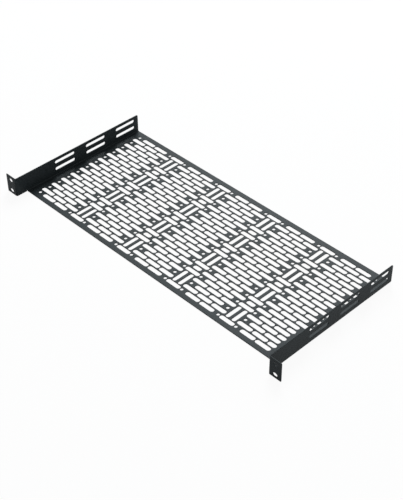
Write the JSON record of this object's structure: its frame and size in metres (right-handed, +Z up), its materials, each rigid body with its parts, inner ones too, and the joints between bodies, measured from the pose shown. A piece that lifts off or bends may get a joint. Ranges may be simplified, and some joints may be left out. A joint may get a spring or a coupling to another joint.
{
  "type": "cantilever rack shelf",
  "caption": "Vented steel shelf folded from one perforated sheet, with low side walls and front ears that screw to a 19 inch rack.",
  "frame": {"origin": "under the middle of the shelf, on the plane of its underside, halfway between the front of the ears and the rear edge", "axes": "+X across the rack to the right seen from the front, +Y back into the rack, +Z up"},
  "size_m": [0.4826, 0.2116, 0.0273],
  "materials": {
    "black_powder_coat": "satin, lightly textured powder coat"
  },
  "bodies": {
    "root": {"shelf": "black_powder_coat"}
  },
  "joints": []
}
